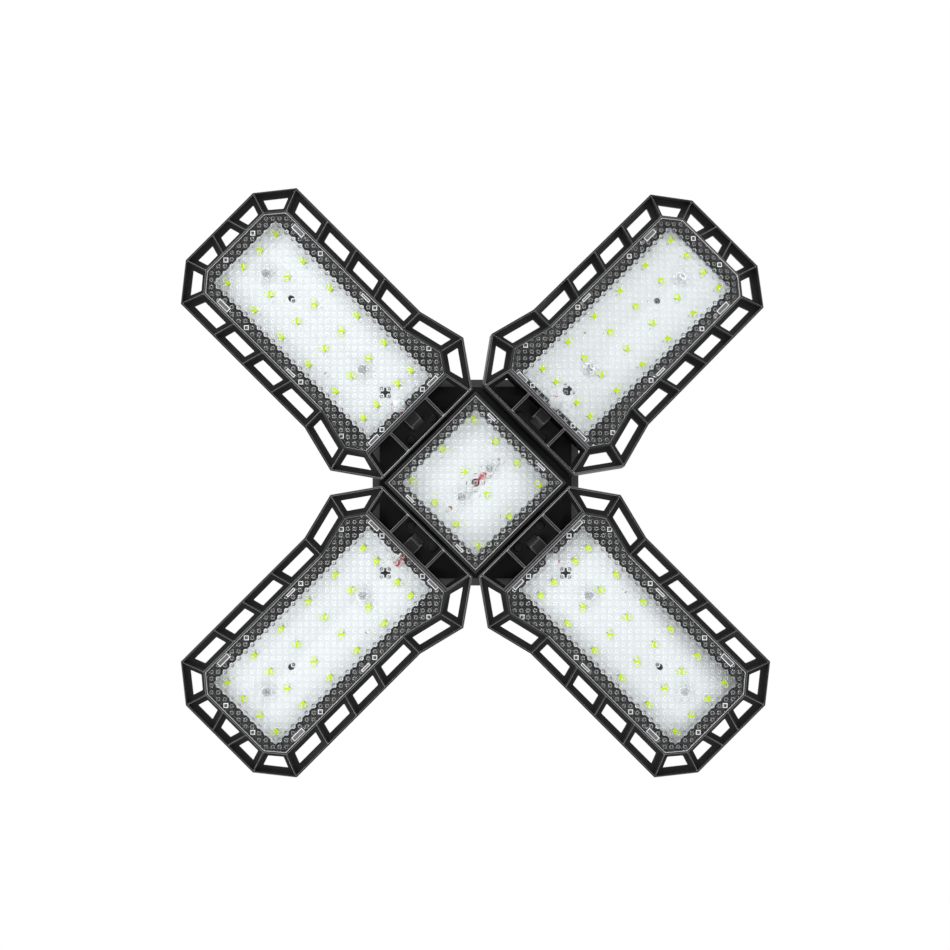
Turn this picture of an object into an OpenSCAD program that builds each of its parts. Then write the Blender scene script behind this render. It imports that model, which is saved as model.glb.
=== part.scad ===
// Folding garage ceiling light: a square hub panel and four hinged LED wings on a screw cap.
// Frame: +Z is up, the lamp hangs by its cap, and its faces look down.
// The origin is where the screw cap meets its collar, on the lamp's axis.
// Hub and wing parts are drawn from the front (lit) face: z = 0 there and z grows towards the cap.
// A wing is drawn along +X, so x is the distance from the lamp's axis and y runs across the wing.

/* [Overall] */
// Front face of the hub to the collar under the screw cap
body_h = 88; // [80:1:110]
// Tilt of wings 1 to 4 as the light is set, in degrees back from flat
wing_tilt = [12, 0, 0, 0];

/* [Hub] */
// Side of the square front frame
hub_side = 64.5; // [60:0.5:70]
// Wall of the square front frame
hub_wall = 1.7; // [1.2:0.1:2.2]
// Driver case to the housing's edge between two wings
flange_w = 10.5; // [9.5:0.5:13]
// Width of the sloping band on those edges
hub_band = 3.9; // [2:0.1:4.5]
// Depth at which the octagonal plate lies behind the front face
hub_plate_z = 15.4; // [15:0.1:16.5]
// Thickness of the octagonal plate
hub_plate_t = 2.5; // [2:0.1:3.5]
// Height of the skirt behind the plate
hub_skirt_h = 8; // [7:0.5:12]
// Side of the hub's LED board
hub_board_side = 52.6; // [48:0.2:54]

/* [Wing frame] */
// Gap between hub and wing
root_gap = 1.95; // [1.2:0.05:3]
// Hub-side edge of the wing to the lens frame
tray_l = 14.8; // [13:0.1:18]
// Length of the lens frame
lens_frame_l = 121.6; // [100:0.5:150]
// Width of the lens frame
lens_frame_w = 58.8; // [56:0.2:66]
// Width of the open lattice along the sides
band_side = 11.6; // [9:0.1:16]
// Width of the open lattice at the tip
band_tip = 10.7; // [9:0.1:14]
// Half-width of the tray at the hub-side edge
root_v = 31.2; // [30.5:0.1:32]
// Length of the flared part of the lens frame
flare_l = 31; // [24:0.5:36]
// How far the lens frame flares out past its side
flare_wall = 5.2; // [3:0.1:6]
// How far the lattice flares out past its side
flare_rail = 6.1; // [3:0.1:6]
// Width of the outer rail
rail_w = 3.8; // [2.4:0.1:4]
// Width of the cross webs
web_w = 5.9; // [3:0.1:6.5]
// Ledge between the lens frame and the windows along the sides
ledge_w = 2.5; // [1:0.1:3]
// The same ledge round the tip
tip_ledge_w = 1.8; // [1:0.1:3]
// Windows in each straight side
side_cells = 4; // [3:1:5]
// How much longer the first and last windows of a straight side are than those between
end_cell = 1.0; // [0:0.1:2]
// How far the side ribs lean towards the tip
rib_lean = 3.1; // [0:0.1:5]
// Thickness of the lattice web
web_t = 2; // [1.5:0.1:3]
// Depth of the lattice web
web_z = 4.5; // [3.5:0.1:6]
// Thickness of the rim around the wing
rim_t = 1.0; // [0.8:0.1:1.4]
// Thickness of the ribs on the webs
rib_t = 0.8; // [0.6:0.1:1.2]
// Wall of the lens frame
wall_t = 1.2; // [1:0.1:1.6]
// Width of the lens's seat inside that wall
seat_w = 1.1; // [0.8:0.1:1.4]
// Distance of the tray's dividers from its middle
divider_v = 12.5; // [12:0.1:16]
// Thickness of the dividers
divider_t = 1.4; // [1:0.1:1.8]

/* [Depths] */
// Front of the lens
lens_z = 0.5; // [0.3:0.1:0.8]
// Thickness of the lens with its prisms
lens_t = 1.9; // [1.5:0.1:2.4]
// Back of the LED boards
board_back_z = 7.4; // [7:0.1:8]
// Thickness of the LED boards
board_t = 1.2; // [1:0.1:1.6]
// Thickness of the frame's flange behind the board
flange_t = 1.5; // [1.2:0.1:2]
// Thickness of the heat sink's plate
sink_t = 2; // [1.6:0.1:2.4]
// Height of the heat sink's fins
fin_h = 3.6; // [2:0.1:3.8]

/* [Hinge] */
// Depth of the hinge pin's axis
hinge_z = 15; // [15:0.1:16]
// Lens frame's hub-side face to the pin's axis
hinge_set = 1.0; // [0.5:0.1:2]
// Radius of the hinge knuckles
knuckle_r = 3.7; // [3.2:0.1:3.8]
// Half-width of the wing's knuckle
knuckle_v = 9; // [7:0.1:9.5]
// Thickness of the hub's ears
ear_t = 3.6; // [3:0.1:4]
// Radius of the hinge pin
pin_r = 1.5; // [1.25:0.05:1.75]
// Running clearance around the pin
pin_fit = 0.025; // [0.02:0.005:0.06]

/* [LED boards] */
// Side of the lens frame to the board
board_side = 7.3; // [7.2:0.1:9]
// Lens frame's hub-side face to the board
board_start = 4.9; // [4.6:0.1:6]
// Lens frame's tip to the board
board_end = 6.3; // [5.5:0.1:9]
// Columns of LEDs on a wing
led_cols = 6; // [4:1:7]
// Side of the board to the outer LED rows
led_row_side = 4.7; // [3:0.1:6]
// Distance of the inner LED rows from the middle
led_row_in = 6.1; // [5.5:0.1:8]
// LED package: length, width and height
led = [3.5, 2.8, 0.7];

/* [Driver case] */
// Radius of the round case
case_r = 42; // [40:0.5:42.5]
// Length of its straight part
case_h = 24; // [22:1:30]
// Wall of the case
case_wall = 2; // [1.6:0.1:2.4]
// Radius of the neck
neck_r = 18.5; // [17:0.5:22]
// Length of the neck with its collar
neck_h = 18; // [16:1:22]
// Vents round the case
vents = 20; // [12:2:24]
// Width of a vent
vent_w = 2.4; // [1.6:0.1:3]

/* [Screw cap] */
// Radius over the cap's thread
cap_r = 13.1; // [13:0.05:13.3]
// Length of the screw shell
cap_h = 20; // [18:0.5:22]
// Sheet of the shell
cap_t = 0.4; // [0.3:0.05:0.6]

/* [Hidden] */
$fn = 64;

black = "#1c1c1e";
satin_black = "#252528";
clear = [0.9, 0.94, 0.96, 0.35];
board_white = "#eef1f2";
phosphor = "#d9ef3a";
zinc = "#b9bcc0";
solder = "#c9ccd0";

slip = 0.15;        // clearance of a piece dropped into a seat
eps = 0.5;          // how far cutting shapes overshoot
bury = 0.5;         // how far joined shapes run into each other

// Depths along the wing's and the hub's front
seat_z = lens_z + lens_t;
board_z = board_back_z - board_t;
led_z = board_z - led[2];
flange_z = board_back_z + flange_t;
back_z = flange_z + sink_t;

// Stations along the wing, measured from the lamp's axis
root_u = hub_side / 2 + root_gap;
wall_u = root_u + tray_l;
hinge_u = wall_u + hinge_set;
wall_tip_u = wall_u + lens_frame_l;
tip_u = wall_tip_u + band_tip;
wall_v = lens_frame_w / 2;
side_v = wall_v + band_side;
wall_root_v = wall_v - 1.4;
shoulder_u = wall_u + flare_l;
wall_cut = [7.6, 9.0];
rail_cut = [13.7, 17.2];
tray_wall_t = 1.5;
tray_lip_w = 1.8;
rail_root_v = root_v + 0.8;
compartment_u = wall_u - tray_wall_t;

function pair(h) = concat([for (p = h) [p[0], -p[1]]], [for (i = [len(h) - 1:-1:0]) h[i]]);
rail_half = [
    [root_u, rail_root_v],
    [wall_u + 6.6, side_v + flare_rail],
    [shoulder_u, side_v],
    [tip_u - rail_cut[0], side_v],
    [tip_u, side_v - rail_cut[1]]
];
wall_half = [
    [wall_u, wall_root_v],
    [wall_u + 9.5, wall_v + flare_wall],
    [shoulder_u, wall_v],
    [wall_tip_u - wall_cut[0], wall_v],
    [wall_tip_u, wall_v - wall_cut[1]]
];
rail_line = pair(rail_half);
wall_line = pair(wall_half);

// Each side of an anticlockwise outline moved inwards by t
function unit(v) = v / norm(v);
function normal_in(a, b) = let (d = unit(b - a)) [-d[1], d[0]];
function inset(p, t) = [
    for (i = [0:len(p) - 1])
        let (
            before = p[(i + len(p) - 1) % len(p)],
            after = p[(i + 1) % len(p)],
            n1 = normal_in(before, p[i]),
            n2 = normal_in(p[i], after)
        )
        p[i] + t * (n1 + n2) / (1 + n1 * n2)
];

// The ribs of one side: outer end, inner end, and how far the web that each stands on reaches
// towards the tip and towards the hub
side_step = (wall_half[3][0] - shoulder_u - 2 * end_cell) / side_cells;
ribs = concat(
    [
        [rail_half[0], wall_half[0], web_w / 2 - 0.5, web_w / 2],
        [rail_half[1], wall_half[1], web_w / 2, web_w / 2 - 0.35],
        [rail_half[2], wall_half[2], web_w / 2, web_w / 2 - 0.35]
    ],
    [
        for (i = [1:side_cells - 1])
            let (u = shoulder_u + end_cell + i * side_step)
                [[u + rib_lean, side_v], [u, wall_v], web_w / 2, web_w / 2]
    ],
    [
        [rail_half[3], wall_half[3], web_w / 2 - 0.5, web_w / 2 + 0.6],
        [rail_half[4], wall_half[4], web_w / 2, web_w / 2 - 0.2],
        [[tip_u, 5.3], [wall_tip_u, 8.3], web_w / 2, web_w / 2]
    ]
);
last_rib = len(ribs) - 1;

// Where two lines meet, each given by two points, and a line moved to its left
function cross2(a, b) = a[0] * b[1] - a[1] * b[0];
function meet(l, m) =
    let (d = l[1] - l[0], e = m[1] - m[0])
    l[0] + d * cross2(m[0] - l[0], e) / cross2(d, e);
function left(l, t) =
    let (n = normal_in(l[0], l[1]))
    [l[0] + t * n, l[1] + t * n];
function window(a, b, ledge = tip_ledge_w) =
    let (
        outer = left([a[0], b[0]], -rail_w),
        inner = left([a[1], b[1]], ledge),
        side_a = left([a[0], a[1]], a[2]),
        side_b = left([b[0], b[1]], -b[3])
    )
    [meet(outer, side_a), meet(inner, side_a), meet(inner, side_b), meet(outer, side_b)];
function flip(r) = [[r[0][0], -r[0][1]], [r[1][0], -r[1][1]], r[3], r[2]];

// LEDs of a wing and of the hub, as [x, y]
board_w = lens_frame_w - 2 * board_side;
led_row_out = board_w / 2 - led_row_side;
led_first = wall_u + 14.1;
led_last = wall_tip_u - 11.2;
led_step = (led_last - led_first) / (led_cols - 1);
wing_leds = [
    for (i = [0:led_cols - 1])
        for (side = [-1, 1])
            for (row = [led_row_in + (i == 0 ? 1.4 : 0), led_row_out - (i == 0 ? 0.6 : 0)])
                [led_first + i * led_step, side * row]
];
hub_led_pitch = [21.6, 15.7];
hub_leds_xy = [
    for (i = [-1:1])
        for (j = [-1.5:1:1.5])
            [i * hub_led_pitch[0], j * hub_led_pitch[1]]
];

// Fasteners and pegs along the middle of a wing's board
peg_r = [2.3, 1.45];
peg_u = [led_first + 1.0, led_first + 3.53 * led_step];
board_screw_u = [led_first + 0.89 * led_step, led_first + 4.44 * led_step];
screw_head = [2.75, 2];
small_head = [2.3, 1.5];
board_screw_r = 1.5;
sink_screw_r = 1.25;
sink_boss_r = sink_screw_r + 1.05;
sink_screw_in = 4.2;
sink_screw_u = [wall_u + 17, wall_tip_u - 11.4];
flare_at = flare_wall * (shoulder_u - sink_screw_u[0]) / (flare_l - 9.5);
sink_screw_at = [
    for (i = [0, 1])
        for (side = [-1, 1])
            [sink_screw_u[i], side * (wall_v + (i == 0 ? flare_at : 0) - sink_screw_in)]
];
screw_gap = 0.05;

// The hub's housing
hub_corner_r = case_r + flange_w;
hub_side_u = hinge_u - 0.7;
hub_back_z = hub_plate_z + hub_plate_t + hub_skirt_h;
hub_screw_at = [for (a = [45:90:315]) (case_r + screw_head[0] + 1.25) * [cos(a), sin(a)]];
case_screw_r = 1.5;
driver_z = 28;
driver_size = [58, 44, 1.6];
driver_x = driver_size[0] / 2;
driver_y = driver_size[1] / 2;
board_post_at = [for (x = [-1, 1]) for (y = [-1, 1]) [x * (driver_x - 5), y * (driver_y - 5)]];
driver_back_z = driver_z + driver_size[2];
hub_screw_x = [-10.2, 10.2];
hub_floor_z = board_back_z;
hub_floor_t = 2.5;
lead_r = 0.65;
mains_r = 0.8;
lead_v = 1.2;
lead_z = board_z - lead_r - 0.15;
lead_hole_u = wall_u - 5.6;
hub_lead_r = 3;
choke_r = [2.3, 6.5];
choke_w = 5;
film = [12.5, 6, 11];
part_gap = 2;

// The screw cap
spigot_h = 9;
spigot_r = cap_r - cap_t - slip;
shell_top = body_h + cap_h;
contact_z = shell_top + 4.2;
mains_at = [8, 3];

// --- placing -------------------------------------------------------------------------------

// From the front face's frame to the lamp's own frame
module hung() {
    translate([0, 0, -body_h]) children();
}

// Wing number i, from 1 to 4, at its tilt
module as_wing(i) {
    hung()
        rotate([0, 0, 90 * (i - 1)])
            translate([hinge_u, 0, hinge_z])
                rotate([0, -wing_tilt[i - 1], 0])
                    translate([-hinge_u, 0, -hinge_z])
                        children();
}

// Something of the hub that is repeated under each wing
module under_wing(i) {
    hung() rotate([0, 0, 90 * (i - 1)]) children();
}

// --- shapes that repeat --------------------------------------------------------------------

module slab(outline, z0, z1) {
    translate([0, 0, z0]) linear_extrude(z1 - z0) polygon(outline);
}

module ring(outer, inner, z0, z1) {
    difference() {
        slab(outer, z0, z1);
        slab(inner, z0 - eps, z1 + eps);
    }
}

module block(from, to) {
    translate(from) cube(to - from);
}

// A bar of width w from a to b, seen from the front
module bar(a, b, w, z0, z1) {
    translate([a[0], a[1], z0])
        rotate([0, 0, atan2(b[1] - a[1], b[0] - a[0])])
            translate([0, -w / 2, 0])
                cube([norm(b - a), w, z1 - z0]);
}

module across(r, v0, v1, at) {
    translate([at[0], v1, at[1]]) rotate([90, 0, 0]) cylinder(h = v1 - v0, r = r);
}

module upright(r, z0, z1, at) {
    translate([at[0], at[1], z0]) cylinder(h = z1 - z0, r = r);
}

module screw(at, head, shank_r, head_z, tip_z) {
    top_z = head_z - sign(tip_z - head_z) * head[1];
    upright(head[0], min(head_z, top_z), max(head_z, top_z), at);
    upright(shank_r, min(head_z, tip_z), max(head_z, tip_z), at);
}

function octagon(a, b) =
    let (c = b * sqrt(2) - a)
    [[a, -c], [a, c], [c, a], [-c, a], [-a, c], [-a, -c], [-c, -a], [c, -a]];

function square_line(side) = [
    [-side / 2, -side / 2], [side / 2, -side / 2], [side / 2, side / 2], [-side / 2, side / 2]
];

// --- wings ---------------------------------------------------------------------------------

tray_hole = pair([
    [root_u + rim_t / 2, root_v - rim_t],
    [wall_u + bury, wall_root_v - rim_t / 2]
]);

module lattice() {
    difference() {
        slab(rail_line, web_z, web_z + web_t);
        slab(inset(wall_line, wall_t / 2), web_z - eps, web_z + web_t + eps);
        slab(tray_hole, web_z - eps, web_z + web_t + eps);
        for (i = [0:last_rib - 1])
            let (opening = window(ribs[i], ribs[i + 1], i < last_rib - 2 ? ledge_w : tip_ledge_w))
                for (side = [0, 1])
                    mirror([0, side, 0]) slab(opening, web_z - eps, web_z + web_t + eps);
        slab(window(ribs[last_rib], flip(ribs[last_rib])), web_z - eps, web_z + web_t + eps);
    }
    ring(rail_line, inset(rail_line, rim_t), lens_z, web_z + bury);
    for (i = [1:last_rib])
        for (side = [0, 1])
            mirror([0, side, 0])
                let (d = unit(ribs[i][1] - ribs[i][0]))
                    bar(
                        ribs[i][0] + d * rim_t * 0.7, ribs[i][1] + d * wall_t * 0.5,
                        rib_t, lens_z + 0.3, web_z + bury
                    );
}

module lens_seat() {
    ring(wall_line, inset(wall_line, wall_t), 0, back_z);
    ring(
        inset(wall_line, wall_t * 0.6), inset(wall_line, wall_t + seat_w),
        seat_z, flange_z
    );
    ring(
        inset(wall_line, wall_t * 0.6), inset(wall_line, wall_t + seat_w + 3.1),
        board_back_z, flange_z
    );
    for (at = sink_screw_at)
        upright(sink_boss_r, board_back_z - 3.4, flange_z, at);
}

// Solid floor between the hinge and the heat sink
sink_start = wall_u + 8;
module hinge_floor() {
    intersection() {
        slab(inset(wall_line, wall_t / 2), board_back_z, back_z);
        block([wall_u - bury, -side_v, 0], [sink_start, side_v, back_z]);
    }
    block(
        [hinge_u - knuckle_r * 0.8, -knuckle_v, back_z - bury],
        [hinge_u + knuckle_r * 0.8, knuckle_v, hinge_z]
    );
    across(knuckle_r, -knuckle_v, knuckle_v, [hinge_u, hinge_z]);
}

module tray() {
    difference() {
        ring(inset(tray_hole, -0.2), inset(tray_hole, tray_lip_w), flange_z, back_z - 0.8);
        block(
            [root_u, -divider_v, flange_z - eps],
            [wall_u + bury + eps, divider_v, back_z + eps]
        );
    }
    block([root_u, -root_v + 0.3, lens_z], [root_u + rim_t, root_v - 0.3, back_z]);
    block(
        [compartment_u, -wall_root_v - 0.1, lens_z],
        [wall_u + wall_t / 2, wall_root_v + 0.1, back_z]
    );
    block(
        [root_u + rim_t / 2, -divider_v, flange_z],
        [compartment_u + bury, divider_v, back_z]
    );
    for (side = [-1, 1]) {
        bar(
            [root_u + rim_t / 2, side * (root_v - rim_t * 0.7)],
            [wall_u + wall_t / 2, side * (wall_root_v - rim_t * 0.5)],
            rim_t, lens_z, back_z - 0.3
        );
        block(
            [root_u + rim_t / 2, side * divider_v - divider_t / 2, lens_z + 0.4],
            [compartment_u + bury, side * divider_v + divider_t / 2, back_z]
        );
        upright(2.3, flange_z - 0.35, flange_z + bury, [root_u + 4, side * 7.8]);
    }
}

module wing_frame() {
    color(black)
        difference() {
            union() {
                lattice();
                lens_seat();
                hinge_floor();
                tray();
            }
            across(pin_r + pin_fit, -knuckle_v - eps, knuckle_v + eps, [hinge_u, hinge_z]);
            for (at = sink_screw_at)
                upright(sink_screw_r + screw_gap, board_back_z - 2.4, flange_z + eps, at);
            block(
                [compartment_u - eps, -2 * lead_v, lead_z - lead_r - 0.2],
                [wall_u + wall_t + seat_w + eps, 2 * lead_v, lead_z + lead_r + 0.1]
            );
            upright(2.4, flange_z - eps, back_z + eps, [lead_hole_u, 0]);
        }
}

// Finned casting behind the board, with the pegs that locate the board
fins = 9;
fin_pitch = (lens_frame_w - 18.8) / (fins - 1);
module wing_heat_sink() {
    plate_line = inset(wall_line, wall_t + slip);
    pad_line = inset(wall_line, wall_t + seat_w + 3.1 + slip);
    front = sink_start + slip;
    color(satin_black)
        difference() {
            union() {
                intersection() {
                    slab(plate_line, flange_z, back_z);
                    block([front, -side_v, 0], [tip_u, side_v, back_z + eps]);
                }
                intersection() {
                    slab(pad_line, board_back_z, flange_z + bury);
                    block([front, -side_v, 0], [tip_u, side_v, back_z + eps]);
                }
                intersection() {
                    slab(inset(plate_line, 1.2), back_z - bury, back_z + fin_h);
                    for (i = [0:fins - 1])
                        let (v = (i - (fins - 1) / 2) * fin_pitch)
                            block(
                                [front + 1.5, v - 0.75, back_z - bury],
                                [tip_u, v + 0.75, back_z + fin_h]
                            );
                }
                for (u = board_screw_u)
                    upright(board_screw_r + 1.9, back_z - bury, back_z + fin_h - 0.4, [u, 0]);
                for (i = [0, 1])
                    upright(peg_r[i], board_z - 0.25, board_back_z + bury, [peg_u[i], 0]);
            }
            for (u = board_screw_u)
                upright(board_screw_r + screw_gap, board_back_z - eps, back_z + fin_h - 1, [u, 0]);
            for (at = sink_screw_at) {
                upright(sink_boss_r + slip, board_back_z - eps, flange_z, at);
                upright(sink_screw_r + 0.2, flange_z - eps, back_z + eps, at);
            }
        }
}

// Clear cover with its clip tabs
module wing_lens() {
    tab_v = wall_v - wall_t - seat_w - slip;
    tab_u = wall_u + wall_t + seat_w + slip;
    color(clear) {
        slab(inset(wall_line, wall_t + slip), lens_z, seat_z);
        for (side = [-1, 1]) {
            for (tab = [[0.455, 5.5], [0.846, 7.8]])
                let (u = wall_u + tab[0] * lens_frame_l)
                    block(
                        [u - tab[1] / 2, min(side * (tab_v - 1.4), side * tab_v), seat_z - bury],
                        [u + tab[1] / 2, max(side * (tab_v - 1.4), side * tab_v), board_back_z - 0.6]
                    );
            block(
                [tab_u, min(side * 17.6, side * 24), seat_z - bury],
                [tab_u + 1.4, max(side * 17.6, side * 24), board_back_z - 0.6]
            );
        }
    }
}

module wing_board() {
    color(board_white)
        difference() {
            block(
                [wall_u + board_start, -board_w / 2, board_z],
                [wall_tip_u - board_end, board_w / 2, board_back_z]
            );
            for (i = [0, 1])
                upright(peg_r[i] + slip, board_z - eps, board_back_z + eps, [peg_u[i], 0]);
            for (u = board_screw_u)
                upright(board_screw_r + 0.2, board_z - eps, board_back_z + eps, [u, 0]);
        }
}

module led_package(at) {
    translate([at[0] - led[0] / 2, at[1] - led[1] / 2, led_z]) cube(led);
}

module wing_led_set() {
    color(phosphor) for (at = wing_leds) led_package(at);
}

module wing_board_screw_pair() {
    color(zinc)
        for (u = board_screw_u)
            screw([u, 0], screw_head, board_screw_r, board_z, back_z + fin_h - 1.4);
}

module wing_sink_screw_set() {
    color(zinc)
        for (at = sink_screw_at)
            screw(at, small_head, sink_screw_r, back_z, board_back_z - 2);
}

// Two leads from the tray, through the lens frame, to the board's solder pads
module wing_lead_pair() {
    pad_u = wall_u + 8;
    for (side = [-1, 1])
        color(side < 0 ? "#b3262b" : "#e9e9e4") {
            upright(lead_r, lead_z, back_z + 0.6, [lead_hole_u, side * lead_v]);
            translate([lead_hole_u, side * lead_v, lead_z]) sphere(r = lead_r);
            translate([lead_hole_u, side * lead_v, lead_z])
                rotate([0, 90, 0])
                    cylinder(h = pad_u - lead_hole_u, r = lead_r);
            upright(1.05, lead_z - 0.2, board_z, [pad_u, side * lead_v]);
        }
}

// Moulded hood over the leads in the tray
module wing_lead_hood() {
    hood_u = compartment_u - 8;
    hood_v = [-2.6, 3.7];
    top_z = flange_z - 5.3;
    color(satin_black)
        difference() {
            union() {
                translate([0, hood_v[1], 0])
                    rotate([90, 0, 0])
                        linear_extrude(hood_v[1] - hood_v[0])
                            polygon([
                                [hood_u, flange_z], [hood_u, flange_z - 1],
                                [hood_u + 1.1, flange_z - 1], [hood_u + 3, top_z],
                                [compartment_u, top_z], [compartment_u, flange_z]
                            ]);
                block(
                    [hood_u + 1.5, hood_v[0] - 0.7, top_z],
                    [compartment_u, hood_v[0] + 0.1, flange_z]
                );
            }
            block(
                [lead_hole_u - 1.0, -lead_v - lead_r - 0.2, lead_z - lead_r - 0.2],
                [compartment_u + eps, lead_v + lead_r + 0.2, flange_z + eps]
            );
        }
}

// --- hinges --------------------------------------------------------------------------------

ear_gap = 0.3;
pin_head_r = pin_r + 0.9;
ear_in = knuckle_v + ear_gap;
ear_out = ear_in + ear_t;

module hinge_pin() {
    color(zinc) {
        across(pin_r, -ear_out, ear_out, [hinge_u, hinge_z]);
        across(pin_head_r, -ear_out - 1, -ear_out, [hinge_u, hinge_z]);
    }
}

module ears() {
    for (side = [-1, 1])
        let (v0 = min(side * ear_in, side * ear_out), v1 = max(side * ear_in, side * ear_out)) {
            across(knuckle_r, v0, v1, [hinge_u, hinge_z]);
            block(
                [hub_side_u - 5, v0, hub_plate_z + bury],
                [hinge_u, v1, hinge_z + knuckle_r * 0.9]
            );
        }
}

// --- hub -----------------------------------------------------------------------------------

module hub_shell() {
    plate_back = hub_plate_z + hub_plate_t;
    body_line = octagon(hub_side_u, hub_corner_r);
    difference() {
        slab(body_line, hub_plate_z, hub_back_z);
        slab(inset(body_line, hub_wall + 0.3), plate_back, hub_back_z + eps);
        slab(square_line(hub_side - hub_wall), hub_plate_z - eps, plate_back + eps);
        // The sloping bands on the four corner edges
        for (a = [45:90:315])
            rotate([0, 0, a])
                translate([hub_corner_r - hub_band, 0, hub_plate_z])
                    rotate([0, 45, 0])
                        translate([0, -hub_corner_r, -3 * hub_band])
                            cube([3 * hub_band, 2 * hub_corner_r, 6 * hub_band]);
    }
    for (at = hub_screw_at)
        upright(case_screw_r + 2, plate_back - bury, hub_back_z - 1, at);
}

module hub_pod() {
    inner = hub_side - 2 * hub_wall;
    ring(square_line(hub_side), square_line(inner), 0, hub_plate_z + bury);
    ring(square_line(inner + 1), square_line(inner - 2 * seat_w), seat_z, hub_floor_z + bury);
    slab(square_line(inner + 1), hub_floor_z, hub_floor_z + hub_floor_t);
    for (at = board_post_at)
        upright(3, hub_floor_z + hub_floor_t - bury, driver_z, at);
}

module hub_frame() {
    color(black)
        hung()
            difference() {
                union() {
                    hub_shell();
                    hub_pod();
                    for (i = [0:3]) rotate([0, 0, 90 * i]) ears();
                }
                for (i = [0:3])
                    rotate([0, 0, 90 * i]) {
                        across(pin_r, -ear_out - eps, ear_out + eps, [hinge_u, hinge_z]);
                        across(pin_head_r + slip, -ear_out - 1.2, -ear_out, [hinge_u, hinge_z]);
                        block(
                            [hinge_u - knuckle_r - ear_gap, -ear_in, hub_plate_z - eps],
                            [hinge_u + 5, ear_in, hinge_z + knuckle_r + ear_gap]
                        );
                        upright(2.4, hub_plate_z - eps, hub_plate_z + hub_plate_t + eps,
                            [lead_hole_u - 1.2, 0]);
                    }
                for (at = hub_screw_at)
                    upright(case_screw_r + screw_gap, hub_plate_z + hub_plate_t, hub_back_z, at);
                for (at = board_post_at)
                    upright(sink_screw_r + screw_gap, driver_z - 7, driver_z + eps, at);
                for (x = hub_screw_x)
                    upright(board_screw_r + screw_gap, hub_floor_z - eps,
                        hub_floor_z + hub_floor_t + eps, [x, 0]);
                upright(hub_lead_r, hub_floor_z - eps, hub_floor_z + hub_floor_t + eps, [0, 0]);
            }
}

module hub_lens() {
    inner = hub_side - 2 * hub_wall;
    tab = inner / 2 - seat_w - slip;
    color(clear)
        hung() {
            slab(square_line(inner - 2 * slip), lens_z, seat_z);
            for (a = [0:90:270])
                rotate([0, 0, a])
                    for (v = [-18, 18])
                        block([tab - 0.9, v - 3, seat_z - bury], [tab, v + 3, board_z - 0.6]);
        }
}

module hub_board() {
    color(board_white)
        hung()
            difference() {
                slab(square_line(hub_board_side), board_z, board_back_z);
                for (x = hub_screw_x)
                    upright(board_screw_r + 0.2, board_z - eps, board_back_z + eps, [x, 0]);
                upright(hub_lead_r - 1, board_z - eps, board_back_z + eps, [0, 0]);
            }
}

module hub_leds() {
    color(phosphor) hung() for (at = hub_leds_xy) led_package(at);
}

module hub_board_screws() {
    color(zinc)
        hung()
            for (x = hub_screw_x)
                screw([x, 0], screw_head, board_screw_r, board_z, hub_floor_z + hub_floor_t + 2);
}

// Two leads from the driver, through the floor and the board, bent over to their pads
module hub_leads() {
    hung()
        for (side = [-1, 1]) {
            at = [side * 0.9, 0, lead_z];
            color(side > 0 ? "#b3262b" : "#e9e9e4") {
                upright(lead_r, lead_z, driver_z, at);
                translate(at) sphere(r = lead_r);
                translate(at)
                    rotate([0, side * 90, 0])
                        cylinder(h = 5.1, r = lead_r);
                upright(1.05, lead_z - 0.2, board_z, [side * 6, 0]);
            }
        }
}

// --- driver case and screw cap -------------------------------------------------------------

flange_top = hub_back_z + 2.5;
shoulder_z = flange_top + case_h;
neck_z = body_h - neck_h;
module driver_case() {
    body_line = octagon(hub_side_u, hub_corner_r);
    w = case_wall;
    color(black)
        hung()
            difference() {
                union() {
                    slab(body_line, hub_back_z, flange_top);
                    rotate_extrude()
                        polygon([
                            [case_r - w, hub_back_z], [case_r, hub_back_z],
                            [case_r, shoulder_z], [neck_r + 4, neck_z - 3], [neck_r, neck_z],
                            [neck_r, body_h - 5], [neck_r - 1.5, body_h], [spigot_r, body_h],
                            [spigot_r, body_h + spigot_h], [spigot_r - w, body_h + spigot_h],
                            [spigot_r - w, neck_z + 2], [neck_r + 2, neck_z - 3 - w],
                            [case_r - w, shoulder_z - w]
                        ]);
                }
                upright(case_r - w, hub_back_z - eps, flange_top + eps, [0, 0]);
                for (i = [0:vents - 1])
                    rotate([0, 0, (i + 0.5) * 360 / vents])
                        block(
                            [case_r - 2 * w, -vent_w / 2, flange_top + 3.5],
                            [case_r + w, vent_w / 2, shoulder_z - 3.5]
                        );
                for (at = hub_screw_at)
                    upright(case_screw_r + 0.2, hub_back_z - eps, flange_top + eps, at);
            }
}

module case_screws() {
    color(zinc)
        hung()
            for (at = hub_screw_at)
                screw(at, screw_head, case_screw_r, flange_top, hub_plate_z + hub_plate_t + 1);
}

module driver_board() {
    color("#2f6b3f")
        hung()
            difference() {
                translate([-driver_size[0] / 2, -driver_size[1] / 2, driver_z]) cube(driver_size);
                for (at = board_post_at)
                    upright(1.5, driver_z - eps, driver_back_z + eps, at);
            }
}

module driver_board_screws() {
    color(zinc)
        hung()
            for (at = board_post_at)
                screw(at, small_head, sink_screw_r, driver_back_z, driver_z - 6);
}

module driver_capacitors() {
    color("#22324a")
        hung() {
            upright(6.3, driver_back_z, driver_back_z + 20, [12 - driver_x, -9]);
            upright(5, driver_back_z, driver_back_z + 16, [12 - driver_x, 5]);
        }
}

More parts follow.
